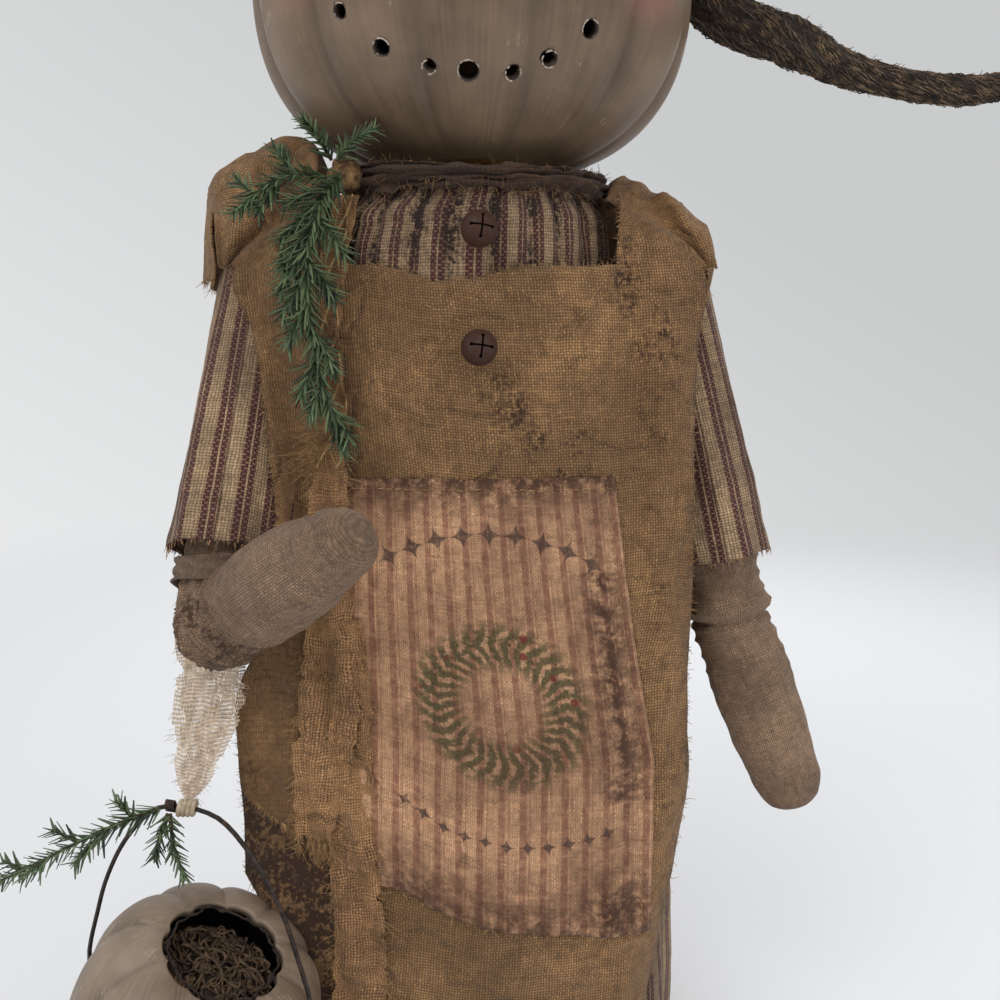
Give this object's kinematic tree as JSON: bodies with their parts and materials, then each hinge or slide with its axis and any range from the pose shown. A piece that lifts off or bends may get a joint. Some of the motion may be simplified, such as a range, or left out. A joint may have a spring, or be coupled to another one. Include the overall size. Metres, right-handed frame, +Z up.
{
  "type": "folk art doll",
  "caption": "Standing cloth folk art doll with ribbed pumpkin head, wired cap tail, striped dress and coarse tunic, bent arm that carries a small pumpkin pail",
  "frame": {"origin": "middle of the wooden base underside", "axes": "+Z up along the neck post, -Y is the front that the face and the bells look to, +X is the left side of the doll, at image right in the picture"},
  "size_m": [0.5205, 0.2601, 0.6704],
  "materials": {
    "base_wood": "bare, waxed",
    "muslin": "plain weave",
    "stuffing": "loose fibre",
    "striped_homespun": "tan ticking with burgundy stripes, tea stained",
    "arm_osnaburg": "grey taupe, stained",
    "tunic_osnaburg": "coarse open weave, brown stains",
    "sack_cotton": "printed, faded and stained",
    "cheesecloth": "open weave, frayed",
    "gauze": "sheer open weave, frayed",
    "greenery": "dusty artificial needles",
    "pumpkin_paint": "streaked matt paint on a moulded craft pumpkin",
    "excelsior": "curly shavings",
    "cap_wool": "rough, mottled",
    "dark_wire": "blackened",
    "rusty_iron": "rusted",
    "thread": "waxed"
  },
  "bodies": {
    "torso": {"base_disc": "base_wood", "neck_post": "base_wood", "muslin_body": "muslin", "body_stuffing": "stuffing", "weight_bag": "muslin", "shoulder_cord": "muslin", "striped_dress": "striped_homespun", "tunic": "tunic_osnaburg", "sack_panel": "sack_cotton", "neck_tie": "tunic_osnaburg", "tie_tail": "cheesecloth", "neck_sprig": "greenery", "neck_sprig_side": "greenery", "neck_sprig_crown": "greenery", "upper_bell_thread": "thread", "lower_bell_thread": "thread"},
    "head": {"pumpkin_head": "pumpkin_paint", "head_block": "base_wood", "cap_crown": "cap_wool", "cap_cuff": "cap_wool"},
    "tail": {"cap_tail": "cap_wool", "tail_wire": "dark_wire"},
    "right_arm": {"right_upper_arm": "arm_osnaburg", "right_sleeve": "striped_homespun", "hanger_wrap": "gauze"},
    "right_lower_arm": {"right_forearm": "arm_osnaburg"},
    "left_arm": {"left_upper_arm": "arm_osnaburg", "left_sleeve": "striped_homespun"},
    "left_lower_arm": {"left_forearm": "arm_osnaburg"},
    "hanger": {"hanger_strip": "gauze"},
    "bail": {"pail_bail": "dark_wire", "sprig_tie": "dark_wire", "pail_sprig": "greenery", "pail_sprig_short": "greenery"},
    "pail": {"pail_shell": "pumpkin_paint", "pail_moss": "excelsior"},
    "bell_upper": {"upper_bell": "rusty_iron"},
    "pellet_upper": {"upper_bell_pellet": "rusty_iron"},
    "bell_lower": {"lower_bell": "rusty_iron"},
    "pellet_lower": {"lower_bell_pellet": "rusty_iron"}
  },
  "joints": [
    {"name": "head_turn", "type": "hinge", "parent": "torso", "child": "head", "pos_m": [0, 0, 0.4746], "axis": [0, 0, 1], "range_deg": [-40, 40]},
    {"name": "cap_tail_bend", "type": "hinge", "parent": "head", "child": "tail", "pos_m": [0.0378, 0.028, 0.64779], "axis": [0, -1, 0], "range_deg": [0, 40]},
    {"name": "right_shoulder_swing", "type": "hinge", "parent": "torso", "child": "right_arm", "pos_m": [-0.10065, 0, 0.42639], "axis": [-1, 0, 0], "range_deg": [0, 40]},
    {"name": "right_elbow_bend", "type": "hinge", "parent": "right_arm", "child": "right_lower_arm", "pos_m": [-0.11412, -0.075, 0.26111], "axis": [0.7235, 0.6045, -0.3332], "range_deg": [-15, 45]},
    {"name": "hanger_sway", "type": "hinge", "parent": "right_arm", "child": "hanger", "pos_m": [-0.12839, -0.04479, 0.27261], "axis": [-1, 0, 0], "range_deg": [-40, 0]},
    {"name": "bail_swing", "type": "hinge", "parent": "hanger", "child": "bail", "pos_m": [-0.12422, -0.09889, 0.18461], "axis": [-0.9455, 0.3256, 0], "range_deg": [0, 15]},
    {"name": "pail_tip", "type": "hinge", "parent": "bail", "child": "pail", "pos_m": [-0.12422, -0.09889, 0.09661], "axis": [0.9455, -0.3256, 0], "range_deg": [-20, 25]},
    {"name": "left_shoulder_swing", "type": "hinge", "parent": "torso", "child": "left_arm", "pos_m": [0.09205, 0, 0.42639], "axis": [-1, 0, 0], "range_deg": [-15, 32]},
    {"name": "left_elbow_bend", "type": "hinge", "parent": "left_arm", "child": "left_lower_arm", "pos_m": [0.13101, -0.00965, 0.24887], "axis": [-0.934, 0, -0.3574], "range_deg": [0, 60]},
    {"name": "upper_bell_swing", "type": "hinge", "parent": "torso", "child": "bell_upper", "pos_m": [0.004, -0.06075, 0.43799], "axis": [1, 0, 0], "range_deg": [-30, 40]},
    {"name": "upper_pellet_roll", "type": "hinge", "parent": "bell_upper", "child": "pellet_upper", "pos_m": [0.004, -0.07029, 0.43596], "axis": [0, 1, 0], "range_deg": [-45, 45]},
    {"name": "lower_bell_swing", "type": "hinge", "parent": "torso", "child": "bell_lower", "pos_m": [0.004, -0.06562, 0.38714], "axis": [1, 0, 0], "range_deg": [-30, 40]},
    {"name": "lower_pellet_roll", "type": "hinge", "parent": "bell_lower", "child": "pellet_lower", "pos_m": [0.004, -0.07516, 0.38511], "axis": [0, 1, 0], "range_deg": [-45, 45]}
  ],
  "couplings": [
    {"joint": "hanger_sway", "follows": "right_shoulder_swing", "ratio": -1}
  ]
}
